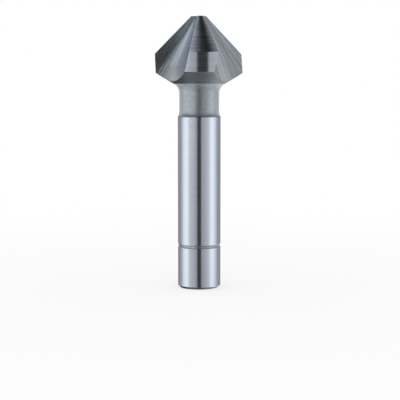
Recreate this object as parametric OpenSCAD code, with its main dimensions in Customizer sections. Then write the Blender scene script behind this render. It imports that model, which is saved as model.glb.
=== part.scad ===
// Countersink bit, one solid piece of tool steel with the cutting point upwards.
// From the bottom: round shank with a ring groove, shoulder, neck, fillet, back cone,
// cylindrical band and a fluted 90 degree point that ends in a small flat.
// All sizes are in millimetres and all angles in degrees. The shank stands on the plane
// z = 0 with its axis on Z, and -Y is the front.

/* [Head] */
// Largest diameter, across the cylindrical band
head_d = 8.3; // [4:0.1:40]
// Full angle of the cutting point
point_angle = 90; // [60:1:120]
// Diameter of the flat at the tip
tip_d = 1.46; // [0.4:0.02:4]
// Height of the cylindrical band
band_h = 1.79; // [0.5:0.01:8]
// Angle between the back cone and the axis
back_angle = 60; // [45:1:75]
// Radius of the fillets at both ends of the neck
fillet_r = 1; // [0.3:0.05:3]

/* [Flutes] */
// Number of flutes, which is also the number of cutting edges
flutes = 3; // [2:1:3]
// Turn of the first rake face from the front, seen from the tip
rake_turn = 36.3; // [0:0.1:120]
// Lean of each rake face from the axis
rake_lean = 13.4; // [5:0.1:25]
// Turn from a rake face to the middle of the hollow wall that faces it
wall_turn = 23.2; // [10:0.1:30]
// Fall of the hollow wall's cone below level
wall_dip = 23.4; // [18:0.1:32]
// Half angle of the hollow wall's cone
wall_angle = 44.4; // [38:0.1:50]
// Height of the hollow wall's apex above the point's apex
wall_rise = 0.1; // [0.02:0.01:0.5]
// Sideways shift of each land's cone, which lowers the land behind its cutting edge
relief_shift = 0.05; // [0.02:0.01:0.5]

/* [Neck and shank] */
// Overall length from the shank's end to the tip
overall_l = 25.3; // [20:0.1:80]
// Diameter of the neck
neck_d = 3.72; // [2:0.01:12]
// Diameter of the shank
shank_d = 4; // [3:0.01:13]
// Length of the shank, up to the foot of the neck's fillet
shank_l = 15.54; // [10:0.01:60]
// Height of the ring groove's middle
groove_z = 3.97; // [2:0.01:20]
// Width of the ring groove
groove_w = 0.31; // [0.1:0.01:1]
// Depth of the ring groove
groove_depth = 0.09; // [0.03:0.01:0.4]
// Chamfer round the shank's end
end_chamfer = 0.23; // [0.1:0.01:1]

/* [Hidden] */
$fn = 96;

head_r = head_d / 2;
tip_r = tip_d / 2;
neck_r = neck_d / 2;
shank_r = shank_d / 2;
point_half = point_angle / 2;

// Heights, from the tip downwards.
apex_z = overall_l + tip_r / tan(point_half);
point_h = (head_r - tip_r) / tan(point_half);
band_top = overall_l - point_h;
band_bottom = band_top - band_h;
back_foot = band_bottom - (head_r - neck_r) / tan(back_angle);

// The fillet touches the neck below the back cone's foot and the back cone above it.
fillet_leg = fillet_r * tan(back_angle / 2);
fillet_z = back_foot - fillet_leg;
fillet_top_r = neck_r + fillet_leg * sin(back_angle);
fillet_top_z = back_foot + fillet_leg * cos(back_angle);

// The neck's other end stands on the shank, or hangs over it if the neck is the thicker one.
// The fillet touches the thinner of the two and ends at the thicker one's surface.
thin_r = min(neck_r, shank_r);
ledge_r = min(thin_r + fillet_r, max(neck_r, shank_r));
ledge_z = neck_r < shank_r ? shank_l : shank_l + fillet_r;
shoulder_z = neck_r < shank_r ? shank_l + fillet_r : shank_l;

// The ring groove's round bottom, a circle set outside the shank.
groove_r = (groove_w * groove_w / 4 + groove_depth * groove_depth) / (2 * groove_depth);
groove_out = shank_r - groove_depth + groove_r;

// Where a land begins and ends at the band, counted from the rake face at the tip. The
// heel is taken as if the hollow wall's apex were the point's.
flute_pitch = 360 / flutes;
edge_turn = -asin(point_h * tan(rake_lean) / head_r);
wall_level = cos(point_half) * sin(wall_dip);
wall_spread = acos((cos(wall_angle) - wall_level) / (sin(point_half) * cos(wall_dip)));
heel_turn = wall_turn + wall_spread - flute_pitch;
land_middle = (edge_turn + heel_turn) / 2;

// Neighbouring reliefs overlap by this turn, in the middle of a flute.
relief_overlap = 2;

// Room that the cutting shapes reach past the piece.
reach = 1;
tool_l = overall_l - band_bottom + head_r + reach;

// Half of the piece's outline without flutes, drawn from the axis outwards.
module outline() {
    difference() {
        union() {
            polygon([
                [0, 0],
                [shank_r - end_chamfer, 0],
                [shank_r, end_chamfer],
                [shank_r, ledge_z],
                [neck_r, ledge_z],
                [neck_r, fillet_z],
                [neck_r + fillet_r, fillet_z],
                [fillet_top_r, fillet_top_z],
                [head_r, band_bottom],
                [head_r, band_top],
                [tip_r, overall_l],
                [0, overall_l]
            ]);
            translate([0, shank_l])
                square([ledge_r, fillet_r]);
        }
        translate([neck_r + fillet_r, fillet_z])
            circle(r = fillet_r);
        translate([thin_r + fillet_r, shoulder_z])
            circle(r = fillet_r);
        translate([groove_out, groove_z])
            circle(r = groove_r);
    }
}

// One flute: all of a leaning cone that lies in front of a flat rake face. The cone starts
// just above the tip, so the flute deepens and widens from the tip to the band and then
// runs out through the back cone.
module flute() {
    intersection() {
        translate([0, 0, apex_z + wall_rise])
            rotate([0, 90 + wall_dip, wall_turn])
                cylinder(h = tool_l, r1 = 0, r2 = tool_l * tan(wall_angle));
        translate([0, 0, overall_l])
            rotate([-rake_lean, 0, 0])
                translate([-2 * tool_l, 0, -2 * tool_l])
                    cube([4 * tool_l, 3 * tool_l, 3 * tool_l]);
    }
}

// What the relief takes from one land: everything outside a cone that is set sideways, so
// that the land keeps close to the point along its cutting edge and falls towards the heel.
module relief() {
    cone_h = apex_z - band_bottom + reach;
    cone_drop = -relief_shift * sin(land_middle) / tan(point_half);
    difference() {
        rotate([0, 0, land_middle - flute_pitch / 2 - relief_overlap])
            rotate_extrude(angle = flute_pitch + 2 * relief_overlap)
                translate([0, band_bottom])
                    square([head_r + reach, point_h + band_h + reach]);
        rotate([0, 0, land_middle + 90])
            translate([relief_shift, 0, apex_z - cone_drop - cone_h])
                cylinder(h = cone_h, r1 = cone_h * tan(point_half), r2 = 0);
    }
}

module countersink_bit() {
    color("LightSteelBlue")
        difference() {
            difference() {
                rotate_extrude()
                    outline();
                for (i = [0 : flutes - 1])
                    rotate([0, 0, rake_turn - 90 + i * flute_pitch])
                        relief();
            }
            for (i = [0 : flutes - 1])
                rotate([0, 0, rake_turn - 90 + i * flute_pitch])
                    flute();
        }
}

countersink_bit();
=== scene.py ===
import math
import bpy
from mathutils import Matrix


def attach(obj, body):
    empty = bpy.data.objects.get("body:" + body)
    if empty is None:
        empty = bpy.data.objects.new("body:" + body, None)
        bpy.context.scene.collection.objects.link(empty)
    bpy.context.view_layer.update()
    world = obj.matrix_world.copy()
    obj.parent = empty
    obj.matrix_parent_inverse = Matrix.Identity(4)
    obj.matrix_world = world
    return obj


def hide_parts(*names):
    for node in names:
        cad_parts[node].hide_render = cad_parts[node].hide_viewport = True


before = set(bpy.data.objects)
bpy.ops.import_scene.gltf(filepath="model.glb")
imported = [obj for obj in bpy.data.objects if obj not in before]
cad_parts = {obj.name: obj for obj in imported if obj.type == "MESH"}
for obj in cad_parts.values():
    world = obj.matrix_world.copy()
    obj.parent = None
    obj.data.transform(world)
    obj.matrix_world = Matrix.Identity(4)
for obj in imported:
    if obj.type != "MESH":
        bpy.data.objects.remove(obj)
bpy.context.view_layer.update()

from types import SimpleNamespace

import bmesh
import bpy
import numpy as np
from bpy.props import FloatProperty, FloatVectorProperty, IntProperty, PointerProperty
from mathutils import Vector

bl_info = {
    "name": "Countersink bit",
    "version": (1, 0, 0),
    "blender": (4, 5, 0),
    "location": "View3D > Sidebar > Countersink",
    "description": "Builds a fluted countersink bit from its sizes, and a small studio round it",
    "category": "Add Mesh",
}

MM = 0.001

# Materials of the piece, in the order of its material slots.
POINT, BAND, FLUTE, BACK, NECK, SHANK, TURNED = range(7)


# ---- sizes and colours


def length(name, text, mm):
    """A length, with its default in millimetres."""
    return FloatProperty(
        name=name, description=text, default=mm * MM, min=0.0, precision=5, unit="LENGTH"
    )


def angle(name, text, degrees):
    """An angle, with its default in degrees."""
    return FloatProperty(
        name=name, description=text, default=math.radians(degrees), unit="ROTATION"
    )


def colour(name, text, rgb):
    """A colour, with its default as shares of red, green and blue."""
    return FloatVectorProperty(
        name=name, description=text, default=rgb, size=3, min=0.0, max=1.0, subtype="COLOR"
    )


class BitSizes(bpy.types.PropertyGroup):
    """Sizes of the bit, the same as the solid's, and how its lands are shaded"""

    head_d: length("Head diameter", "Largest diameter, across the cylindrical band", 8.3)
    point_angle: angle("Point angle", "Full angle of the cutting point", 90)
    tip_d: length("Tip diameter", "Diameter of the flat at the tip", 1.46)
    band_h: length("Band height", "Height of the cylindrical band", 1.79)
    back_angle: angle("Back angle", "Angle between the back cone and the axis", 60)
    fillet_r: length("Fillet radius", "Fillets at both ends of the neck", 1.0)
    flutes: IntProperty(
        name="Flutes", description="Number of flutes and cutting edges", default=3, min=2, max=3
    )
    rake_turn: angle("Rake turn", "Turn of the first rake face from the front", 36.3)
    rake_lean: angle("Rake lean", "Lean of each rake face from the axis", 13.4)
    wall_turn: angle("Wall turn", "Turn from a rake face to the middle of its hollow wall", 23.2)
    wall_dip: angle("Wall dip", "Fall of the hollow wall's cone below level", 23.4)
    wall_angle: angle("Wall angle", "Half angle of the hollow wall's cone", 44.4)
    wall_rise: length("Wall rise", "Height of the wall's apex above the point's apex", 0.1)
    relief_shift: length("Relief shift", "Sideways shift of each land's own cone", 0.05)
    relief_angle: angle("Relief angle", "Turn of a land's shading towards its heel", 5.0)
    relief_bend: FloatProperty(
        name="Relief bend", description="Share of the band's curve that its shading takes away",
        default=0.3, min=0.0, max=1.0, subtype="FACTOR",
    )
    overall_l: length("Overall length", "From the shank's end to the tip", 25.3)
    neck_d: length("Neck diameter", "Diameter of the neck", 3.72)
    shank_d: length("Shank diameter", "Diameter of the shank", 4.0)
    shank_l: length("Shank length", "Up to the foot of the neck's fillet", 15.54)
    groove_z: length("Groove height", "Height of the ring groove's middle", 3.97)
    groove_w: length("Groove width", "Width of the ring groove", 0.31)
    groove_depth: length("Groove depth", "Depth of the ring groove", 0.09)
    end_chamfer: length("End chamfer", "Chamfer round the shank's end", 0.23)


class BitColours(bpy.types.PropertyGroup):
    """Colours of the bit's surfaces and of the floor"""

    point: colour("Point steel", "Ground steel of the point's lands", (0.365, 0.395, 0.445))
    band: colour("Band steel", "Smoothly ground steel of the band", (0.38, 0.415, 0.465))
    flute: colour("Flute steel", "Ground steel inside the flutes", (0.43, 0.465, 0.51))
    back: colour("Back cone steel", "Dull turned steel of the back cone", (0.24, 0.256, 0.273))
    neck: colour("Neck steel", "Matt steel of the neck and its fillets", (0.30, 0.317, 0.355))
    shank: colour("Shank steel", "Bright ground steel of the shank", (0.38, 0.39, 0.45))
    turned: colour("Turned steel", "Turned steel of groove and shank end", (0.33, 0.34, 0.38))
    floor: colour("Floor", "Plain pale floor", (0.86, 0.87, 0.88))


class StageSettings(bpy.types.PropertyGroup):
    """Where the camera stands and how bright the studio is"""

    camera_distance: length("Camera distance", "From the aim point to the camera", 108.0)
    camera_height: angle("Camera elevation", "Angle of the camera above level", 5.2)
    aim_height: length("Aim height", "Height of the point that the camera looks at", 8.21)
    aim_side: length("Aim side", "Sideways place of the point that the camera looks at", 0.075)
    frame_ratio: FloatProperty(
        name="Lens ratio", description="Focal length over sensor width", default=2.875
    )
    lamp_power: FloatProperty(
        name="Lamp power", description="Power of each side lamp", default=0.02, unit="POWER"
    )


# ---- the bit's surfaces

# Steps of the head's grid down the point, the band and the back cone, then across a land, a rake
# face and a hollow wall, and last the steps down the end chamfer.
POINT_ROWS, BAND_ROWS, BACK_ROWS = 56, 20, 36
LAND_STEPS, RAKE_STEPS, WALL_STEPS = 56, 20, 64
CHAMFER_STEPS = 8

# How the heel is found: its first turn past the wall's middle, and the rounds in which it settles.
HEEL_GUESS = 0.8
HEEL_ROUNDS = 40
# Steps in which the lower end of the rake face is looked for.
SEARCH_STEPS = 4000

# How far edge rubbing with its painted glint reaches from an edge, and how dark and wide the
# painted shade is: in the flutes' inner corners, as a painted shadow at the shoulder's foot, and
# on the end chamfer.
WEAR_AND_GLINT_WIDTH = 0.05 * MM
INNER_PAINTED_SHADE, INNER_WIDTH = 0.75, 0.5 * MM
SHOULDER_PAINTED_SHADOW, SHOULDER_WIDTH = 0.7, 0.25 * MM
CHAMFER_PAINTED_SHADE = 0.45

# UV millimetres for each radian across the grinding lines, and what sets the rake faces' marks
# and each flute's marks apart from the others.
FAN = 5.0
RAKE_APART = 7.0
FLUTE_APART = 40.0

# Points closer than this are one, and edges that turn by more than this stay sharp.
JOIN = 0.00002 * MM
SHARP = math.radians(12)


def spread(count, ends=0.65):
    """Shares from 0 to 1, closer together at both ends: a mix of even steps and a cosine."""
    even = np.linspace(0.0, 1.0, count + 1)
    return (1 - ends) * even + ends * (1 - np.cos(np.pi * even)) / 2


def measures(s):
    """The bit's sizes with everything that follows from them, as in the solid's source."""
    m = SimpleNamespace(
        head_r=s.head_d / 2, tip_r=s.tip_d / 2, neck_r=s.neck_d / 2, shank_r=s.shank_d / 2,
        top=s.overall_l, point_tan=math.tan(s.point_angle / 2), back_tan=math.tan(s.back_angle),
        back_angle=s.back_angle, fillet_r=s.fillet_r, flutes=s.flutes,
        pitch=2 * math.pi / s.flutes, start=s.rake_turn - math.pi / 2,
        lean_tan=math.tan(s.rake_lean), wall_turn=s.wall_turn, shift=s.relief_shift,
        relief_tan=math.tan(s.relief_angle), relief_bend=s.relief_bend, shank_l=s.shank_l,
        groove_z=s.groove_z, groove_w=s.groove_w, groove_depth=s.groove_depth,
        chamfer=s.end_chamfer,
    )
    m.apex_z = m.top + m.tip_r / m.point_tan
    m.wall_z = m.apex_z + s.wall_rise
    m.band_top = m.top - (m.head_r - m.tip_r) / m.point_tan
    m.band_foot = m.band_top - s.band_h
    m.back_foot = m.band_foot - (m.head_r - m.neck_r) / m.back_tan
    m.fillet_z = m.back_foot - m.fillet_r * math.tan(s.back_angle / 2)
    # The neck's lower fillet ends where its circle reaches the shank's surface.
    m.shoulder = math.acos(1 - (m.shank_r - m.neck_r) / m.fillet_r)
    m.shoulder_z = m.shank_l + m.fillet_r
    m.shank_top = m.shoulder_z - m.fillet_r * math.sin(m.shoulder)
    # Directions of the hollow wall's cone: along its axis, inwards and down, and sideways.
    m.wall_cos, m.wall_sin = math.cos(s.wall_angle), math.sin(s.wall_angle)
    m.dip_cos, m.dip_sin = math.cos(s.wall_dip), math.sin(s.wall_dip)
    turn_cos, turn_sin = math.cos(s.wall_turn), math.sin(s.wall_turn)
    m.along = np.array([m.dip_cos * turn_cos, m.dip_cos * turn_sin, -m.dip_sin])
    m.inward = np.array([-m.dip_sin * turn_cos, -m.dip_sin * turn_sin, -m.dip_cos])
    m.aside = np.array([-turn_sin, turn_cos, 0.0])
    # Middle of a land at the band, counted from its rake face, and the land's own cone.
    edge_turn = -math.asin((m.top - m.band_top) * m.lean_tan / m.head_r)
    half = s.point_angle / 2
    wide = math.acos((m.wall_cos - math.cos(half) * m.dip_sin) / (math.sin(half) * m.dip_cos))
    m.land_middle = (edge_turn + s.wall_turn + wide - m.pitch) / 2
    m.relief_turn = m.land_middle + math.pi / 2
    m.cone_drop = -m.shift * math.sin(m.land_middle) / m.point_tan
    # The wall's lowest line falls by this much for each step outwards, down to the back cone.
    lowest = math.tan(math.pi / 2 - s.wall_dip - s.wall_angle)
    m.run_out = (lowest * m.wall_z + m.back_foot * m.back_tan - m.neck_r) / (lowest + m.back_tan)
    return m


def land_radius(m, turn, z):
    """Distance of a land from the axis: the least of the point's cone, the band, and the land's
    own cone, whose section is a circle set sideways: s cos(t) + sqrt(r^2 - s^2 sin(t)^2)."""
    r = (m.apex_z - m.cone_drop - z) * m.point_tan
    t = turn - m.relief_turn
    own = m.shift * np.cos(t) + np.sqrt(np.maximum(r**2 - (m.shift * np.sin(t)) ** 2, 0))
    return np.minimum(np.minimum((m.apex_z - z) * m.point_tan, m.head_r), own)


def back_radius(m, z):
    """Radius of the back cone: it grows from the neck's radius by its tangent times the height."""
    return m.neck_r + (z - m.back_foot) * m.back_tan


def row_height(m, share, turn):
    """Height of a row: share 0 is the tip, 1 the corner between point and band, 2 the band's
    foot. The corner lies where the land's own cone has the band's radius (law of cosines)."""
    reach = np.sqrt(
        m.head_r**2 - 2 * m.head_r * m.shift * np.cos(turn - m.relief_turn) + m.shift**2
    )
    corner = m.apex_z - m.cone_drop - reach / m.point_tan
    return np.where(
        share <= 1, m.top - share * (m.top - corner), corner - (share - 1) * (corner - m.band_foot)
    )


def wall_ray(m, chi):
    """Unit ray of the hollow wall's cone at angle chi round it, 0 being its lowest line."""
    chi = np.asarray(chi)[..., None]
    return m.wall_cos * m.along + m.wall_sin * (np.cos(chi) * m.inward + np.sin(chi) * m.aside)


def wall_point(m, chi, z):
    """Point of the hollow wall at angle chi and height z: the apex plus the ray, as long as it
    takes to fall to that height."""
    ray = wall_ray(m, chi)
    fall = (m.wall_z - np.asarray(z))[..., None]
    return np.array([0.0, 0.0, m.wall_z]) + ray * fall / -ray[..., 2:]


def wall_reach(m, radius, z):
    """Angle chi at which the wall is this far from the axis: its ray then makes the angle
    atan(radius / fall) with the vertical."""
    upright = 1 / np.sqrt(1 + (radius / (m.wall_z - z)) ** 2)
    return np.arccos(np.clip((upright - m.wall_cos * m.dip_sin) / (m.wall_sin * m.dip_cos), -1, 1))


def floor_corner(m, z):
    """Where rake face and wall meet at height z, in the rake face's plane
    y = -(top - z) tan(lean): the root in x of (p . axis)^2 = cos^2 p^2. Returns y and the wall's
    angle chi there."""
    y = -(m.top - z) * m.lean_tan
    fall = m.wall_z - z
    a = m.along[0]
    k = y * m.along[1] - fall * m.along[2]
    c2 = m.wall_cos**2
    root = np.sqrt((a * k) ** 2 - (a * a - c2) * (k * k - c2 * (y * y + fall * fall)))
    x = (-a * k + root) / (a * a - c2)
    p = np.stack([x, y, -fall], axis=-1)
    return y, np.arctan2(p @ m.aside, p @ m.inward)


def head_rows(m):
    """Rows of the head from the tip to where the flutes run out, above and below the band's foot.
    Each row holds, for one flute, the heel's turn and wall angle, the cutting edge's turn, the
    floor corner's wall angle and the heights of edge and heel. The upper rows follow the land by
    their share, and the lower ones are level and have a radius."""
    share = np.concatenate([spread(POINT_ROWS, 0.5), 1 + spread(BAND_ROWS, 0.5)[1:]])
    edge = np.zeros_like(share)
    heel = np.full_like(share, m.wall_turn + HEEL_GUESS)
    for _ in range(HEEL_ROUNDS):
        edge_z = row_height(m, share, edge)
        edge = -np.arcsin((m.top - edge_z) * m.lean_tan / land_radius(m, edge, edge_z))
        heel_z = row_height(m, share, heel - m.pitch)
        chi = wall_reach(m, land_radius(m, heel - m.pitch, heel_z), heel_z)
        ray = wall_ray(m, chi)
        heel = np.arctan2(ray[:, 1], ray[:, 0])
    upper = SimpleNamespace(
        share=share, edge=edge, edge_z=edge_z, heel=heel, heel_z=heel_z, chi_heel=chi,
        chi_floor=floor_corner(m, edge_z)[1], radius=None,
    )
    # Below the band the rows are level. The rake face ends where its corner with the wall
    # reaches the back cone, and the wall where its lowest line does.
    fine = np.linspace(m.band_foot, m.run_out, SEARCH_STEPS + 1)
    gap = floor_corner(m, fine)[1] + wall_reach(m, back_radius(m, fine), fine)
    rake_end = fine[np.argmax(gap < 0)] if (gap < 0).any() else m.run_out
    down = 1 - (1 - np.linspace(0, 1, BACK_ROWS + 1)) ** 2
    steps = m.band_foot + (m.run_out - m.band_foot) * down
    z = np.sort(np.append(steps[1:], rake_end))[::-1]
    radius = back_radius(m, z)
    reach = wall_reach(m, radius, z)
    y, chi_floor = floor_corner(m, z)
    open_rake = chi_floor > -reach
    side = wall_ray(m, -reach)
    ray = wall_ray(m, reach)
    lower = SimpleNamespace(
        edge=np.where(
            open_rake, -np.arcsin(np.clip(-y / radius, -1, 1)), np.arctan2(side[:, 1], side[:, 0])
        ),
        edge_z=z, heel=np.arctan2(ray[:, 1], ray[:, 0]), heel_z=z, chi_heel=reach,
        chi_floor=np.where(open_rake, chi_floor, -reach), radius=radius,
    )
    return upper, lower


def third(m, rows):
    """One flute's part of every row: the land as an arc from heel to cutting edge, the rake face
    as a straight line in to the floor corner, and the hollow wall along its cone to the next
    heel. Returns the three grids and the wall's angles chi."""
    f = spread(LAND_STEPS)
    turn = (rows.heel - m.pitch)[:, None] * (1 - f) + rows.edge[:, None] * f
    if rows.radius is None:
        z = row_height(m, rows.share[:, None], turn)
        r = land_radius(m, turn, z)
    else:
        z = np.repeat(rows.edge_z[:, None], len(f), axis=1)
        r = np.repeat(rows.radius[:, None], len(f), axis=1)
    land = np.stack([r * np.cos(turn), r * np.sin(turn), z], axis=-1)
    w = spread(WALL_STEPS)
    chi = rows.chi_floor[:, None] * (1 - w) + rows.chi_heel[:, None] * w
    wall_z = rows.edge_z[:, None] * (1 - w) + rows.heel_z[:, None] * w
    wall = wall_point(m, chi, wall_z)
    g = spread(RAKE_STEPS)[None, :, None]
    rake = land[:, -1:, :] * (1 - g) + wall[:, :1, :] * g
    return land, rake, wall, chi


def turned(points, by):
    """Points turned by an angle round the Z axis."""
    c, s = math.cos(by), math.sin(by)
    return points @ np.array([[c, s, 0.0], [-s, c, 0.0], [0.0, 0.0, 1.0]])


def all_round(m, part):
    """One flute's part, put round the axis once for each flute."""
    return np.concatenate([turned(part, m.start + i * m.pitch) for i in range(m.flutes)], axis=-2)


def arc(centre_r, centre_z, radius, first, last, steps):
    """Points (r, z) on a circle, from one angle to another."""
    t = np.linspace(first, last, steps + 1)
    return np.stack([centre_r + radius * np.cos(t), centre_z + radius * np.sin(t)], axis=-1)


def run(a, b, steps):
    """Points (r, z) on a straight line, closer together at its ends."""
    f = spread(steps)[:, None]
    return np.array(a) * (1 - f) + np.array(b) * f


def lower_profile(m):
    """Outline (r, z) from the flutes' run-out to the shank's end, with the material of each step:
    back cone, fillet, neck, shoulder, shank, ring groove, shank and end chamfer."""
    fillet_out = m.neck_r + m.fillet_r
    cone_foot = (
        m.neck_r + m.fillet_r * (1 - math.cos(m.back_angle)),
        m.fillet_z + m.fillet_r * math.sin(m.back_angle),
    )
    lip = m.groove_w / 2
    groove_r = (m.groove_w**2 / 4 + m.groove_depth**2) / (2 * m.groove_depth)
    groove_out = m.shank_r - m.groove_depth + groove_r
    half = math.asin(m.groove_w / 2 / groove_r)
    pi = math.pi
    parts = [
        (BACK, run((back_radius(m, m.run_out), m.run_out), cone_foot, steps=6)),
        (NECK, arc(fillet_out, m.fillet_z, m.fillet_r, pi - m.back_angle, pi, steps=20)),
        (NECK, run((m.neck_r, m.fillet_z), (m.neck_r, m.shoulder_z), steps=16)),
        (NECK, arc(fillet_out, m.shoulder_z, m.fillet_r, pi, pi + m.shoulder, steps=12)),
        (SHANK, run((m.shank_r, m.shank_top), (m.shank_r, m.groove_z + lip), steps=48)),
        (TURNED, arc(groove_out, m.groove_z, groove_r, pi - half, pi + half, steps=16)),
        (SHANK, run((m.shank_r, m.groove_z - lip), (m.shank_r, m.chamfer), steps=24)),
        (TURNED, run((m.shank_r, m.chamfer), (m.shank_r - m.chamfer, 0.0), CHAMFER_STEPS)),
    ]
    points = np.concatenate([parts[0][1][:1]] + [p[1:] for _, p in parts])
    kinds = np.concatenate([np.full(len(p) - 1, kind) for kind, p in parts])
    return points, kinds


def near(distance, width):
    """1 at an edge, falling to 0 away from it as a bell curve of this width."""
    return np.exp(-((distance / width) ** 2))


def along(grid):
    """Distance of each point of a row from the row's first point, along the row."""
    step = np.linalg.norm(np.diff(grid, axis=1), axis=2)
    return np.concatenate([np.zeros((len(grid), 1)), np.cumsum(step, axis=1)], axis=1)


def face_corners(grid):
    """A grid's values at the four corners of each of its faces."""
    return np.stack([grid[:-1, :-1], grid[1:, :-1], grid[1:, 1:], grid[:-1, 1:]], axis=2)


def wear_glint_and_shade(m, land, rake, wall, profile, kinds):
    """Each point's nearness to an edge that wears and takes a painted glint, and how much painted
    darkening its place takes, for the head and the rows below it. The head's edges are cutting
    edge, heel, corner, band's foot and tip."""
    s_land, s_wall = along(land), along(wall)
    edges = [s_land, s_land[:, -1:] - s_land]
    edges += [land[:, :, 2] - z for z in (land[POINT_ROWS, :, 2], m.band_foot, m.top)]
    on_land = np.max([near(edge, WEAR_AND_GLINT_WIDTH) for edge in edges], axis=0)
    on_rake = near(along(rake), WEAR_AND_GLINT_WIDTH)
    on_wall = near(s_wall[:, -1:] - s_wall, WEAR_AND_GLINT_WIDTH)
    wear = np.concatenate([on_land[:, :-1], on_rake[:, :-1], on_wall[:, :-1]], axis=1)
    # Below the head every corner wears and takes a painted glint, but not the first two, where the
    # neck begins and ends.
    down = np.concatenate([[0.0], np.cumsum(np.linalg.norm(np.diff(profile, axis=0), axis=1))])
    corners = down[np.flatnonzero(np.diff(kinds) != 0) + 1]
    low = np.max(near(down[1:, None] - corners[None, 2:], WEAR_AND_GLINT_WIDTH), axis=1)
    low[-1] = 1.0
    # Painted shade: the flutes' inner corners, darker towards the tip, a painted shadow at the
    # shoulder's foot, where the neck meets the shank, and the end chamfer.
    height = (wall[:, :1, 2] - m.run_out) / (m.top - m.run_out)
    shade = np.zeros_like(wear)
    shade[:, -WALL_STEPS:] = INNER_PAINTED_SHADE * (height * near(s_wall, INNER_WIDTH))[:, :-1]
    foot = corners[1]
    dark = SHOULDER_PAINTED_SHADOW * near(down[1:] - foot, SHOULDER_WIDTH) * (down[1:] <= foot)
    dark[-CHAMFER_STEPS:] = CHAMFER_PAINTED_SHADE
    columns = m.flutes * wear.shape[1]
    return [
        np.concatenate([np.tile(head, (1, m.flutes)), np.repeat(rest[:, None], columns, axis=1)])
        for head, rest in ((wear, low), (shade, dark))
    ]


def land_relief(m, land):
    """Height that shades point and band, at each face's corners. It grows from heel to cutting
    edge by the distance round the axis times the tangent of the relief angle. On the band half
    the bend times that turn squared comes on top of it."""
    turn = np.arctan2(land[:, :, 1], land[:, :, 0]) - m.land_middle
    reach = np.linalg.norm(land[:, :, :2], axis=2)
    block = face_corners(reach * turn * m.relief_tan)
    block[POINT_ROWS:] += face_corners(reach * turn**2 * m.relief_bend / 2)[POINT_ROWS:]
    return block


def grinding_uv(m, land, rake, wall, chi):
    """UV of the head at each face's corners, in millimetres. In the flutes it runs across the
    grinding lines, which fan out from the wall's apex, and along them, and on the lands down
    the axis and round it."""
    apex = np.array([0.0, 0.0, m.wall_z])
    rake_angle = np.arctan2(np.linalg.norm(rake[:, :, :2], axis=2), m.wall_z - rake[:, :, 2])
    pairs = (
        ((m.top - land[:, :, 2]) / MM, np.arctan2(land[:, :, 1], land[:, :, 0]) * FAN),
        ((rake_angle + RAKE_APART) * FAN, np.linalg.norm(rake - apex, axis=2) / MM),
        (chi * m.wall_sin * FAN, np.linalg.norm(wall - apex, axis=2) / MM),
    )
    part = np.concatenate([face_corners(np.stack(pair, axis=-1)) for pair in pairs], axis=1)
    apart = np.array([0.0, FLUTE_APART])
    return np.concatenate([part + i * apart for i in range(m.flutes)], axis=1)


def bit_surface(m):
    """The whole bit as one closed grid: rows down from the tip, columns round the axis. Returns
    points, quads, each quad's material, each point's nearness to edges rubbed by use that take a
    painted glint, its painted darkening, and each corner's relief and UV."""
    upper, lower = head_rows(m)
    grids = zip(third(m, upper), third(m, lower))
    land, rake, wall, chi = (np.concatenate(pair) for pair in grids)
    part = np.concatenate([land[:, :-1], rake[:, :-1], wall[:, :-1]], axis=1)
    head = all_round(m, part)

    # Below the head each column keeps its direction and takes the profile's radius.
    profile, kinds = lower_profile(m)
    flat = part[-1, :, :2] / np.linalg.norm(part[-1, :, :2], axis=1)[:, None]
    ring = all_round(m, np.column_stack([flat, np.zeros(len(flat))]))
    up = np.array([0.0, 0.0, 1.0])
    below = ring[None, :, :] * profile[1:, None, :1] + up * profile[1:, None, 1:]
    points = np.concatenate([head, below])

    rows, columns = points.shape[:2]
    index = np.arange(rows * columns).reshape(rows, columns)
    following = np.roll(index, -1, axis=1)
    quads = np.stack([index[:-1], index[1:], following[1:], following[:-1]], axis=-1)

    band_end, head_end = upper.share.size - 1, len(head) - 1
    kind = np.full((rows - 1, columns), POINT)
    kind[POINT_ROWS:band_end] = BAND
    kind[band_end:head_end] = BACK
    kind[:head_end, np.arange(columns) % part.shape[1] >= LAND_STEPS] = FLUTE
    kind[head_end:] = kinds[:, None]

    wear, shade = wear_glint_and_shade(m, land, rake, wall, profile, kinds)
    relief = np.zeros((rows - 1, m.flutes, part.shape[1], 4))
    relief[:band_end, :, :LAND_STEPS] = land_relief(m, land[: band_end + 1])[:, None]
    uv = np.zeros((rows - 1, columns, 4, 2))
    uv[:head_end] = grinding_uv(m, land, rake, wall, chi)
    return (
        points.reshape(-1, 3), quads.reshape(-1, 4), kind.ravel(), wear.ravel(), shade.ravel(),
        relief.ravel(), uv.reshape(-1, 2),
    )


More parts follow.
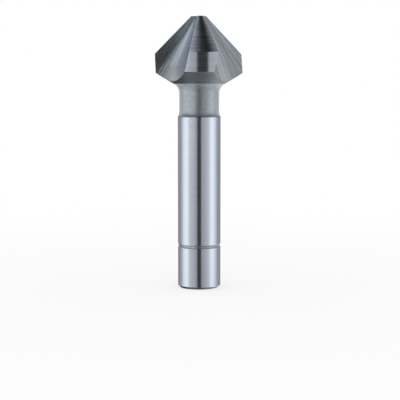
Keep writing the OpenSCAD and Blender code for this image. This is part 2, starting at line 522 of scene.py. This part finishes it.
def make_mesh(name, m):
    """Puts the surface into a mesh, closes the tip and the shank's end with flat faces, joins the
    points that fall together, and marks the sharp edges."""
    points, quads, kind, wear, shade, relief, uv = bit_surface(m)
    mesh = bpy.data.meshes.new(name)
    mesh.from_pydata(points, [], quads)
    mesh.polygons.foreach_set("material_index", kind.astype(np.int32))
    layer = mesh.uv_layers.new(name="grinding")
    layer.data.foreach_set("uv", uv.astype(np.float32).ravel())
    # Point attributes: nearness to edges rubbed by use that take a painted glint, and the painted
    # shade of inner corners, the shoulder's foot and the end chamfer; the corners carry the lands'
    # relief.
    for label, domain, values in (
        ("wear", "POINT", wear), ("shade", "POINT", shade), ("relief", "CORNER", relief)
    ):
        attribute = mesh.attributes.new(label, "FLOAT", domain)
        attribute.data.foreach_set("value", values.astype(np.float32))
    bm = bmesh.new()
    bm.from_mesh(mesh)
    bmesh.ops.remove_doubles(bm, verts=bm.verts, dist=JOIN)
    bmesh.ops.dissolve_degenerate(bm, dist=JOIN, edges=bm.edges)
    rims = [e for e in bm.edges if e.is_boundary]
    for face in bmesh.ops.holes_fill(bm, edges=rims, sides=0)["faces"]:
        above = face.calc_center_median().z - m.top / 2
        face.material_index = TURNED if above < 0 else POINT
        if face.normal.z * above < 0:
            face.normal_flip()
    bm.to_mesh(mesh)
    bm.free()
    mesh.set_sharp_from_angle(angle=SHARP)
    mesh.validate()
    return mesh


# ---- materials

# Each material's colour and finish, in the order of the material slots. stretch is how often the
# marks repeat along each axis, in a metre or, in the flutes, in a millimetre of the UV map, and
# fineness how much finer the fine marks are. contrast is how far they lighten and darken the
# steel, rough_by how far they change its roughness and depth their relief in millimetres. streak
# is how much more the light spreads across the marks than along them.
# Each finish's edge amount lightens its edges, partly rubbed by use and partly a painted glint.
FINISHES = (
    ("point", dict(
        name="ground point", stretch=(300, 300, 6500), fineness=2.0, contrast=0.34, rough=0.12,
        rough_by=0.03, streak=0.5, depth=0.0010, wear=0.4,
    )),
    ("band", dict(
        name="ground band", stretch=(300, 300, 5000), fineness=3.0, contrast=0.13, rough=0.13,
        rough_by=0.03, streak=0.5, depth=0.0008, wear=0.4,
    )),
    ("flute", dict(
        name="ground flute", stretch=(3.5, 0.12, 1.0), fineness=3.0, contrast=0.50, rough=0.20,
        rough_by=0.05, streak=0.7, depth=0.0015, wear=0.4, in_flute=True,
    )),
    ("back", dict(
        name="turned back", stretch=(600, 600, 6000), fineness=2.0, contrast=0.36, rough=0.40,
        rough_by=0.05, streak=0.0, depth=0.001, wear=0.3,
    )),
    ("neck", dict(
        name="matt neck", stretch=(3200, 3200, 4800), fineness=2.0, contrast=0.28, rough=0.42,
        rough_by=0.04, streak=0.8, depth=0.002, wear=0.2, sheen=1.0,
    )),
    ("shank", dict(
        name="ground shank", stretch=(300, 300, 9000), fineness=3.0, contrast=0.06, rough=0.21,
        rough_by=0.04, streak=0.8, depth=0.001, wear=0.3,
    )),
    ("turned", dict(
        name="turned steel", stretch=(300, 300, 12000), fineness=3.0, contrast=0.06, rough=0.30,
        rough_by=0.05, streak=0.8, depth=0.002, wear=0.3,
    )),
)
SHEEN_ROUGHNESS = 0.55
SHEEN_TINT = (0.86, 0.94, 1.0, 1.0)
# The run of noise over which the marks go from their least to their most.
NOISE_LOW, NOISE_HIGH = 0.3, 0.7
# An edge rubbed by use, and partly a painted glint, has the steel's colour times this gain plus
# this lift.
WORN_GLINT_GAIN, WORN_GLINT_LIFT = 1.6, 0.05
QUARTER_TURN = 0.25


def link(tree, a, b):
    """Leads output a into input b."""
    tree.links.new(a, b)


def add(tree, kind, at, **values):
    """A node of this kind, with its settings and the values of its inputs by name."""
    n = tree.nodes.new(kind)
    n.location = at
    for key, value in values.items():
        if hasattr(n, key):
            setattr(n, key, value)
        else:
            n.inputs[key.replace("_", " ")].default_value = value
    return n


def math_node(tree, at, operation, *values):
    """A sum, product or the like of values and sockets."""
    n = add(tree, "ShaderNodeMath", at, operation=operation)
    for socket, value in zip(n.inputs, values):
        if isinstance(value, (int, float)):
            socket.default_value = value
        else:
            link(tree, value, socket)
    return n.outputs[0]


def empty_material(name):
    """A material without nodes, and its node tree."""
    mat = bpy.data.materials.new(name)
    mat.use_nodes = True
    mat.node_tree.nodes.clear()
    return mat, mat.node_tree


def group_tree(name, inputs, outputs):
    """An empty shader node group with these sockets, and its input and output nodes."""
    tree = bpy.data.node_groups.new(name, "ShaderNodeTree")
    for label, kind, value in inputs:
        socket = tree.interface.new_socket(name=label, in_out="INPUT", socket_type=kind)
        if value is not None:
            socket.default_value = value
    for label, kind in outputs:
        tree.interface.new_socket(name=label, in_out="OUTPUT", socket_type=kind)
    return tree, add(tree, "NodeGroupInput", (-900, 0)), add(tree, "NodeGroupOutput", (700, 0))


def grinding_group():
    """Grinding marks: half the sum of two stretched noises, a broad one and a fine one."""
    tree, start, end = group_tree(
        "grinding marks",
        [
            ("Vector", "NodeSocketVector", None), ("Scale", "NodeSocketVector", (1, 1, 1)),
            ("Fineness", "NodeSocketFloat", 4.0),
        ],
        [("Marks", "NodeSocketFloat")],
    )
    stretch = add(tree, "ShaderNodeVectorMath", (-700, 0), operation="MULTIPLY")
    link(tree, start.outputs["Vector"], stretch.inputs[0])
    link(tree, start.outputs["Scale"], stretch.inputs[1])
    broad = add(tree, "ShaderNodeTexNoise", (-450, 150), Scale=1.0, Detail=3.0, Roughness=0.55)
    link(tree, stretch.outputs[0], broad.inputs["Vector"])
    finer = add(tree, "ShaderNodeVectorMath", (-600, -200), operation="SCALE")
    link(tree, stretch.outputs[0], finer.inputs[0])
    link(tree, start.outputs["Fineness"], finer.inputs["Scale"])
    fine = add(tree, "ShaderNodeTexNoise", (-400, -200), Scale=1.0, Detail=4.0, Roughness=0.7)
    link(tree, finer.outputs[0], fine.inputs["Vector"])
    half = math_node(tree, (-200, 100), "MULTIPLY", broad.outputs["Fac"], 0.5)
    marks = math_node(tree, (0, 0), "MULTIPLY_ADD", fine.outputs["Fac"], 0.5, half)
    link(tree, marks, end.inputs["Marks"])
    return tree


def wear_and_glint_group():
    """Worn edges with a painted glint: the mesh's own nearness to an edge, broken up by a small
    noise.
    """
    tree, start, end = group_tree(
        "edge wear", [("Amount", "NodeSocketFloat", 0.5)], [("Mask", "NodeSocketFloat")]
    )
    edge = add(tree, "ShaderNodeAttribute", (-600, 0), attribute_name="wear")
    where = add(tree, "ShaderNodeTexCoord", (-900, -300))
    noise = add(tree, "ShaderNodeTexNoise", (-600, -300), Scale=4000.0, Detail=3.0)
    link(tree, where.outputs["Object"], noise.inputs["Vector"])
    bits = add(tree, "ShaderNodeMapRange", (-400, -300), From_Min=0.35, From_Max=0.65)
    link(tree, noise.outputs["Fac"], bits.inputs["Value"])
    worn_and_glint = math_node(tree, (-200, 0), "MULTIPLY", edge.outputs["Fac"], bits.outputs["Result"])
    worn_and_glint = math_node(tree, (0, 0), "MULTIPLY", worn_and_glint, start.outputs["Amount"])
    link(tree, worn_and_glint, end.inputs["Mask"])
    return tree


def steel(
    groups, rgb, name, stretch, fineness, contrast, rough, rough_by, streak, depth, wear,
    sheen=0.0, in_flute=False,
):
    """A metal whose tone, roughness and relief follow its grinding marks. Its edges are lighter,
    partly rubbed by use and partly a painted glint, and it is darker by the mesh's painted shading
    of inner corners, the shoulder's foot and the end chamfer. It spreads light across the marks,
    and a matt one has a sheen at its outline. The mesh's own relief turns the lands a little
    towards their heels."""
    mat, tree = empty_material(name)
    out = add(tree, "ShaderNodeOutputMaterial", (900, 0))
    shader = add(
        tree, "ShaderNodeBsdfPrincipled", (600, 0), Metallic=1.0, Anisotropic=streak,
        Sheen_Weight=sheen, Sheen_Roughness=SHEEN_ROUGHNESS, Sheen_Tint=SHEEN_TINT,
    )
    link(tree, shader.outputs[0], out.inputs["Surface"])
    # The marks fan out in the flutes and elsewhere run round the axis.
    across = add(tree, "ShaderNodeTangent", (200, -500))
    if in_flute:
        where = add(tree, "ShaderNodeUVMap", (-900, 0), uv_map="grinding").outputs["UV"]
        across.direction_type = "UV_MAP"
        across.uv_map = "grinding"
    else:
        where = add(tree, "ShaderNodeTexCoord", (-900, 0)).outputs["Object"]
        across.direction_type = "RADIAL"
        across.axis = "Z"
        shader.inputs["Anisotropic Rotation"].default_value = QUARTER_TURN
    link(tree, across.outputs["Tangent"], shader.inputs["Tangent"])
    marks = add(tree, "ShaderNodeGroup", (-600, 0), node_tree=groups["grinding"])
    marks.inputs["Scale"].default_value = stretch
    marks.inputs["Fineness"].default_value = fineness
    link(tree, where, marks.inputs["Vector"])
    marks = marks.outputs["Marks"]
    edge = add(tree, "ShaderNodeGroup", (-600, -300), node_tree=groups["wear"])
    edge.inputs["Amount"].default_value = wear

    def by_marks(at, low, high):
        """A value that follows the marks from low to high."""
        return add(
            tree, "ShaderNodeMapRange", at, From_Min=NOISE_LOW, From_Max=NOISE_HIGH, To_Min=low,
            To_Max=high,
        )

    tone = by_marks((-350, 150), 1 - contrast, 1 + contrast)
    tone.clamp = False
    link(tree, marks, tone.inputs["Value"])
    # Painted shade: the mesh darkens the inner corners, the shoulder's foot and the end chamfer.
    dark = add(tree, "ShaderNodeAttribute", (-600, 450), attribute_name="shade")
    bright = math_node(tree, (-400, 450), "SUBTRACT", 1.0, dark.outputs["Fac"])
    tone = math_node(tree, (-200, 250), "MULTIPLY", tone.outputs["Result"], bright)
    tint = add(tree, "ShaderNodeVectorMath", (-100, 150), operation="SCALE")
    tint.inputs[0].default_value = rgb
    link(tree, tone, tint.inputs["Scale"])
    # Lighter edges: partly rubbed by use, partly a painted glint.
    worn_and_glint = add(tree, "ShaderNodeMix", (200, 150), data_type="RGBA")
    link(tree, edge.outputs["Mask"], worn_and_glint.inputs["Factor"])
    link(tree, tint.outputs[0], worn_and_glint.inputs["A"])
    worn_and_glint.inputs["B"].default_value = (*[min(1.0, c * WORN_GLINT_GAIN + WORN_GLINT_LIFT) for c in rgb], 1.0)
    link(tree, worn_and_glint.outputs["Result"], shader.inputs["Base Color"])
    dull = by_marks((-350, -100), rough - rough_by, rough + rough_by)
    link(tree, marks, dull.inputs["Value"])
    link(tree, dull.outputs["Result"], shader.inputs["Roughness"])
    fall = add(tree, "ShaderNodeAttribute", (-100, -500), attribute_name="relief")
    height = math_node(tree, (0, -300), "MULTIPLY_ADD", marks, depth * MM, fall.outputs["Fac"])
    relief = add(tree, "ShaderNodeBump", (200, -300), Strength=1.0, Distance=1.0)
    link(tree, height, relief.inputs["Height"])
    link(tree, relief.outputs["Normal"], shader.inputs["Normal"])
    return mat


class COUNTERSINK_OT_bit(bpy.types.Operator):
    """Build the countersink bit as one steel surface and dress it"""

    bl_idname = "countersink.bit"
    bl_label = "Bit"

    def execute(self, context):
        colours = context.scene.bit_colours
        mesh = make_mesh("steel_bit", measures(context.scene.bit_sizes))
        piece = bpy.data.objects.new("steel_bit", mesh)
        context.scene.collection.objects.link(piece)
        groups = {"grinding": grinding_group(), "wear": wear_and_glint_group()}
        for label, finish in FINISHES:
            mesh.materials.append(steel(groups, getattr(colours, label), **finish))
        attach(piece, "root")
        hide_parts("countersink_bit")
        return {"FINISHED"}


# ---- the studio

# The tent's glow as straight runs between (place, glow). For the level ring the place is the turn
# from the front in degrees, positive to the right, and for the upper ring that turn without its
# sign. For the roof, and for the ground before the bit, close beneath it and behind it, the place
# is the sideways share of the direction, from -1 at the left to 1 at the right.
LEVEL = (
    (-180, 0.35), (-128, 0.60), (-113, 0.76), (-90, 2.0), (-68, 2.4), (-52, 1.2), (-32, 0.92),
    (-22, 0.82), (-11, 0.74), (-9.5, 0.075), (9.5, 0.075), (11, 0.80), (32, 1.02), (52, 1.4),
    (68, 2.4), (86, 2.08), (113, 0.76), (128, 0.60), (180, 0.35),
)
UPPER = (
    (0, 0.55), (64, 0.60), (84, 0.46), (98, 0.46), (106, 0.64), (122, 0.82), (140, 0.68),
    (160, 0.42), (180, 0.30),
)
ROOF = (
    (-1.0, 0.95), (-0.30, 0.66), (-0.17, 0.22), (-0.06, 0.055), (0.08, 0.04), (0.14, 0.12),
    (0.22, 0.35), (0.32, 0.60), (1.0, 0.9),
)
GROUND = (
    (-1.0, 0.92), (-0.36, 0.85), (-0.28, 0.3), (-0.22, 0.14), (0.0, 0.09), (0.30, 0.08),
    (0.50, 0.20), (1.0, 0.5),
)
BENEATH = (
    (-1.0, 0.95), (-0.36, 0.9), (-0.12, 0.4), (0.0, 0.25), (0.12, 0.4), (0.36, 0.9), (1.0, 0.95)
)
BEHIND = (
    (-1.0, 1.1), (-0.80, 1.0), (-0.50, 0.06), (-0.30, 0.06), (0.0, 0.35), (0.3, 1.1), (1.0, 1.2)
)
# Upward share of the direction over which the upper ring, the roof, the ground and what lies
# beneath take over, and its share away from the camera over which the ground behind does.
TO_UPPER, TO_ROOF = (0.10, 0.28), (0.58, 0.76)
TO_GROUND, TO_BENEATH = (-0.26, -0.38), (-0.52, -0.70)
TO_BEHIND = (0.1, 0.5)
# A flag at the left leaves this share of the upper ring's glow, between these turns.
FLAG = 0.42
FLAG_TURNS = ((-98, -88), (-54, -64))
# A card left of the front adds this glow, between these turns and upward shares.
CARD = 1.9
CARD_TURNS = ((-64, -54), (-16, -28))
CARD_HEIGHTS = ((0.06, 0.14), (0.38, 0.28))
# The bright panels at the sides are tinted, from these turns and this glow on.
PANEL_TINT = (0.91, 1.0, 0.98, 1.0)
PANEL_TURN, PANEL_GLOW = (50, 66), (1.0, 1.6)
# The tent is a ball with its middle at the height of the band.
TENT_RADIUS, TENT_HEIGHT = 0.4, 0.021
TENT_COLUMNS, TENT_ROWS = 64, 32

# White share of the floor by the bit, and the distances over which it grows to all white.
FLOOR_WHITE = 0.7
FLOOR_FADE = (0.01, 0.08)
FLOOR_HALF = 3.0

LAMP_SIZE = (0.12, 0.40)
LAMP_COLOUR = (0.93, 1.0, 1.0)
LAMP_TURN = math.radians(80)
LAMP_DISTANCE, LAMP_HEIGHT, LAMP_AIM = 0.2, 0.06, 0.015

SENSOR_WIDTH = 36.0
CLIP_NEAR, CLIP_FAR = 0.001, 20.0


def ramp(tree, value, at, low, high, stops):
    """A value between low and high sent through straight runs between stops (place, result)."""
    n = add(tree, "ShaderNodeFloatCurve", at)
    points = n.mapping.curves[0].points
    top = max(result for _, result in stops)
    while len(points) < len(stops):
        points.new(0.5, 0.5)
    for point, (place, result) in zip(points, stops):
        point.location = ((place - low) / (high - low), result / top)
        point.handle_type = "VECTOR"
    n.mapping.update()
    share = add(tree, "ShaderNodeMapRange", (at[0] - 200, at[1]), From_Min=low, From_Max=high)
    link(tree, value, share.inputs["Value"])
    link(tree, share.outputs["Result"], n.inputs["Value"])
    return math_node(tree, (at[0] + 250, at[1]), "MULTIPLY", n.outputs[0], top)


def soft_step(tree, value, at, ends):
    """0 up to the first end and 1 from the last, with a smooth change between them."""
    first, last = ends
    n = add(
        tree, "ShaderNodeMapRange", at, interpolation_type="SMOOTHSTEP", From_Min=min(ends),
        From_Max=max(ends), To_Min=float(first > last), To_Max=float(first < last),
    )
    link(tree, value, n.inputs["Value"])
    return n.outputs["Result"]


def window(tree, value, at, sides):
    """1 between two soft steps and 0 outside them."""
    x, y = at
    first, last = (soft_step(tree, value, (x, y - 200 * i), ends) for i, ends in enumerate(sides))
    return math_node(tree, (x + 200, y), "MULTIPLY", first, last)


def blend(tree, at, share, a, b):
    """Value a where the share is 0 and b where it is 1."""
    n = add(tree, "ShaderNodeMix", at, data_type="FLOAT")
    link(tree, share, n.inputs["Factor"])
    link(tree, a, n.inputs["A"])
    link(tree, b, n.inputs["B"])
    return n.outputs["Result"]


def tent_cloth():
    """Glow of the tent by the direction from its middle. Near level and higher up it follows the
    turn from the front, overhead and below the sideways share of the direction."""
    mat, tree = empty_material("tent cloth")
    out = add(tree, "ShaderNodeOutputMaterial", (1600, 0))
    where = add(tree, "ShaderNodeTexCoord", (-1300, 0))
    unit = add(tree, "ShaderNodeVectorMath", (-1100, 0), operation="NORMALIZE")
    link(tree, where.outputs["Object"], unit.inputs[0])
    axes = add(tree, "ShaderNodeSeparateXYZ", (-900, 0))
    link(tree, unit.outputs[0], axes.inputs[0])
    x, y, z = (axes.outputs[name] for name in "XYZ")
    front = math_node(tree, (-700, -100), "MULTIPLY", y, -1.0)
    turn = math_node(tree, (-700, 100), "ARCTAN2", x, front)
    turn = math_node(tree, (-500, 100), "DEGREES", turn)
    turn_both = math_node(tree, (-300, 200), "ABSOLUTE", turn)
    level = ramp(tree, turn, (0, 600), -180, 180, LEVEL)
    upper = ramp(tree, turn_both, (0, 300), 0, 180, UPPER)
    roof, ground, behind, beneath = (
        ramp(tree, x, (0, -300 * i), -1, 1, stops)
        for i, stops in enumerate((ROOF, GROUND, BEHIND, BENEATH))
    )
    flag = window(tree, turn, (300, 900), FLAG_TURNS)
    dimmed = math_node(tree, (600, 300), "MULTIPLY_ADD", flag, FLAG - 1.0, 1.0)
    upper = math_node(tree, (700, 300), "MULTIPLY", upper, dimmed)
    card = math_node(
        tree, (500, -500), "MULTIPLY", window(tree, turn, (200, -500), CARD_TURNS),
        window(tree, z, (200, -900), CARD_HEIGHTS),
    )
    glow = blend(tree, (800, 0), soft_step(tree, z, (600, 600), TO_UPPER), level, upper)
    glow = math_node(tree, (900, -100), "MULTIPLY_ADD", card, CARD, glow)
    glow = blend(tree, (1000, 0), soft_step(tree, z, (800, 600), TO_ROOF), glow, roof)
    ground = blend(
        tree, (400, -300), soft_step(tree, z, (200, -1300), TO_BENEATH), ground, beneath
    )
    ground = blend(tree, (500, -300), soft_step(tree, y, (0, -1500), TO_BEHIND), ground, behind)
    glow = blend(tree, (1200, 0), soft_step(tree, z, (1000, 600), TO_GROUND), glow, ground)
    panel = math_node(
        tree, (1200, 300), "MULTIPLY", soft_step(tree, turn_both, (1000, 300), PANEL_TURN),
        soft_step(tree, glow, (1000, 100), PANEL_GLOW),
    )
    tint = add(tree, "ShaderNodeMix", (1300, 300), data_type="RGBA")
    link(tree, panel, tint.inputs["Factor"])
    tint.inputs["A"].default_value = (1.0, 1.0, 1.0, 1.0)
    tint.inputs["B"].default_value = PANEL_TINT
    light = add(tree, "ShaderNodeEmission", (1400, 0))
    link(tree, tint.outputs["Result"], light.inputs["Color"])
    link(tree, glow, light.inputs["Strength"])
    link(tree, light.outputs[0], out.inputs["Surface"])
    return mat


def floor_paint(rgb):
    """A plain pale colour that takes shadows. Seen straight or in a mirror, it is mostly white by
    the bit and all white far away, and its underside is clear."""
    mat, tree = empty_material("floor")
    out = add(tree, "ShaderNodeOutputMaterial", (800, 0))
    paint = add(tree, "ShaderNodeBsdfDiffuse", (0, 0), Color=(*rgb, 1.0))
    white = add(tree, "ShaderNodeEmission", (0, -200), Strength=1.0)
    path = add(tree, "ShaderNodeLightPath", (-500, 600))
    where = add(tree, "ShaderNodeTexCoord", (-900, 300))
    away = add(tree, "ShaderNodeVectorMath", (-700, 300), operation="LENGTH")
    link(tree, where.outputs["Object"], away.inputs[0])
    far = soft_step(tree, away.outputs["Value"], (-500, 300), FLOOR_FADE)
    far = math_node(tree, (-300, 100), "MULTIPLY_ADD", far, 1 - FLOOR_WHITE, FLOOR_WHITE)
    seen = path.outputs["Is Camera Ray"]
    for i, ray in enumerate(("Is Glossy Ray", "Is Transmission Ray")):
        seen = math_node(tree, (150 * i - 300, 500), "MAXIMUM", seen, path.outputs[ray])
    share = math_node(tree, (0, 300), "MULTIPLY", seen, far)
    above = add(tree, "ShaderNodeMixShader", (300, 0))
    link(tree, share, above.inputs[0])
    link(tree, paint.outputs[0], above.inputs[1])
    link(tree, white.outputs[0], above.inputs[2])
    back = add(tree, "ShaderNodeNewGeometry", (300, 300))
    clear = add(tree, "ShaderNodeBsdfTransparent", (300, -200))
    both = add(tree, "ShaderNodeMixShader", (600, 0))
    link(tree, back.outputs["Backfacing"], both.inputs[0])
    link(tree, above.outputs[0], both.inputs[1])
    link(tree, clear.outputs[0], both.inputs[2])
    link(tree, both.outputs[0], out.inputs["Surface"])
    return mat


class COUNTERSINK_OT_stage(bpy.types.Operator):
    """Build the floor, the soft lamps, the tent and the camera"""

    bl_idname = "countersink.stage"
    bl_label = "Stage"

    def execute(self, context):
        stage = context.scene.stage_settings
        self.world(context)
        self.floor(context, context.scene.bit_colours.floor)
        self.lamps(context, stage)
        self.tent(context)
        self.camera(context, stage)
        context.scene.view_settings.view_transform = "Standard"
        return {"FINISHED"}

    def world(self, context):
        """A plain white surrounding, which lights the floor evenly."""
        world = bpy.data.worlds.new("studio")
        context.scene.world = world
        world.use_nodes = True
        tree = world.node_tree
        tree.nodes.clear()
        out = add(tree, "ShaderNodeOutputWorld", (300, 0))
        white = add(tree, "ShaderNodeBackground", (0, 0), Color=(1.0, 1.0, 1.0, 1.0), Strength=1.0)
        link(tree, white.outputs[0], out.inputs["Surface"])

    def floor(self, context, rgb):
        """A large flat floor. The bit mirrors the tent in its place."""
        h = FLOOR_HALF
        mesh = bpy.data.meshes.new("floor")
        mesh.from_pydata([(-h, -h, 0), (h, -h, 0), (h, h, 0), (-h, h, 0)], [], [(0, 1, 2, 3)])
        mesh.materials.append(floor_paint(rgb))
        obj = bpy.data.objects.new("floor", mesh)
        context.scene.collection.objects.link(obj)
        obj.visible_glossy = False

    def lamps(self, context, stage):
        """Two tall soft lamps, one on each side."""
        for name, side in (("lamp_left", -1), ("lamp_right", 1)):
            data = bpy.data.lights.new(name, "AREA")
            data.shape = "RECTANGLE"
            data.size, data.size_y = LAMP_SIZE
            data.energy = stage.lamp_power
            data.color = LAMP_COLOUR
            obj = bpy.data.objects.new(name, data)
            context.scene.collection.objects.link(obj)
            spot = Vector((side * math.sin(LAMP_TURN), -math.cos(LAMP_TURN), 0.0)) * LAMP_DISTANCE
            spot.z = LAMP_HEIGHT
            obj.location = spot
            to_bit = Vector((0, 0, LAMP_AIM)) - spot
            obj.rotation_euler = to_bit.to_track_quat("-Z", "Y").to_euler()
            obj.visible_camera = False
            obj.visible_glossy = False

    def tent(self, context):
        """A soft tent round the bit that only shows in its reflections, a ball with the points
        R (cos u sin v, sin u sin v, cos v): grey walls with a bright panel on each side, and dark
        cloth down the front, overhead and below."""
        u, v = np.meshgrid(
            np.linspace(0, 2 * np.pi, TENT_COLUMNS + 1)[:-1], np.linspace(0, np.pi, TENT_ROWS + 1),
            indexing="ij",
        )
        points = TENT_RADIUS * np.stack(
            [np.cos(u) * np.sin(v), np.sin(u) * np.sin(v), np.cos(v)], axis=-1
        )
        index = np.arange(u.size).reshape(u.shape)
        following = np.roll(index, -1, axis=0)
        quads = [index[:, :-1], index[:, 1:], following[:, 1:], following[:, :-1]]
        mesh = bpy.data.meshes.new("tent")
        mesh.from_pydata(points.reshape(-1, 3), [], np.stack(quads, axis=-1).reshape(-1, 4))
        mesh.materials.append(tent_cloth())
        obj = bpy.data.objects.new("tent", mesh)
        obj.location.z = TENT_HEIGHT
        context.scene.collection.objects.link(obj)
        obj.visible_camera = False
        obj.visible_diffuse = False
        obj.visible_shadow = False
        obj.visible_transmission = False

    def camera(self, context, stage):
        """The photograph's camera: a long lens a little above level, aimed near the bit's axis."""
        data = bpy.data.cameras.new("camera")
        data.sensor_width = SENSOR_WIDTH
        data.lens = SENSOR_WIDTH * stage.frame_ratio
        data.clip_start = CLIP_NEAR
        data.clip_end = CLIP_FAR
        obj = bpy.data.objects.new("camera", data)
        context.scene.collection.objects.link(obj)
        aim = Vector((stage.aim_side, 0.0, stage.aim_height))
        up = stage.camera_height
        obj.location = aim + stage.camera_distance * Vector((0.0, -math.cos(up), math.sin(up)))
        obj.rotation_euler = (math.pi / 2 - up, 0.0, 0.0)
        context.scene.camera = obj


class COUNTERSINK_PT_panel(bpy.types.Panel):
    """Sizes, colours and studio of the countersink bit"""

    bl_idname = "COUNTERSINK_PT_panel"
    bl_label = "Countersink bit"
    bl_space_type = "VIEW_3D"
    bl_region_type = "UI"
    bl_category = "Countersink"

    def draw(self, context):
        scene = context.scene
        for title, group, operator in (
            ("Sizes", scene.bit_sizes, "countersink.bit"),
            ("Colours", scene.bit_colours, None),
            ("Studio", scene.stage_settings, "countersink.stage"),
        ):
            box = self.layout.box()
            box.label(text=title)
            for prop in group.__annotations__:
                box.prop(group, prop)
            if operator:
                box.operator(operator)


CLASSES = (
    BitSizes, BitColours, StageSettings, COUNTERSINK_OT_bit, COUNTERSINK_OT_stage,
    COUNTERSINK_PT_panel,
)


def register():
    for cls in CLASSES:
        bpy.utils.register_class(cls)
    bpy.types.Scene.bit_sizes = PointerProperty(type=BitSizes)
    bpy.types.Scene.bit_colours = PointerProperty(type=BitColours)
    bpy.types.Scene.stage_settings = PointerProperty(type=StageSettings)


def unregister():
    del bpy.types.Scene.stage_settings
    del bpy.types.Scene.bit_colours
    del bpy.types.Scene.bit_sizes
    for cls in reversed(CLASSES):
        bpy.utils.unregister_class(cls)


def main():
    """Makes the piece and the stage."""
    register()
    bpy.ops.countersink.bit()
    bpy.ops.countersink.stage()


if __name__ == "__main__":
    main()
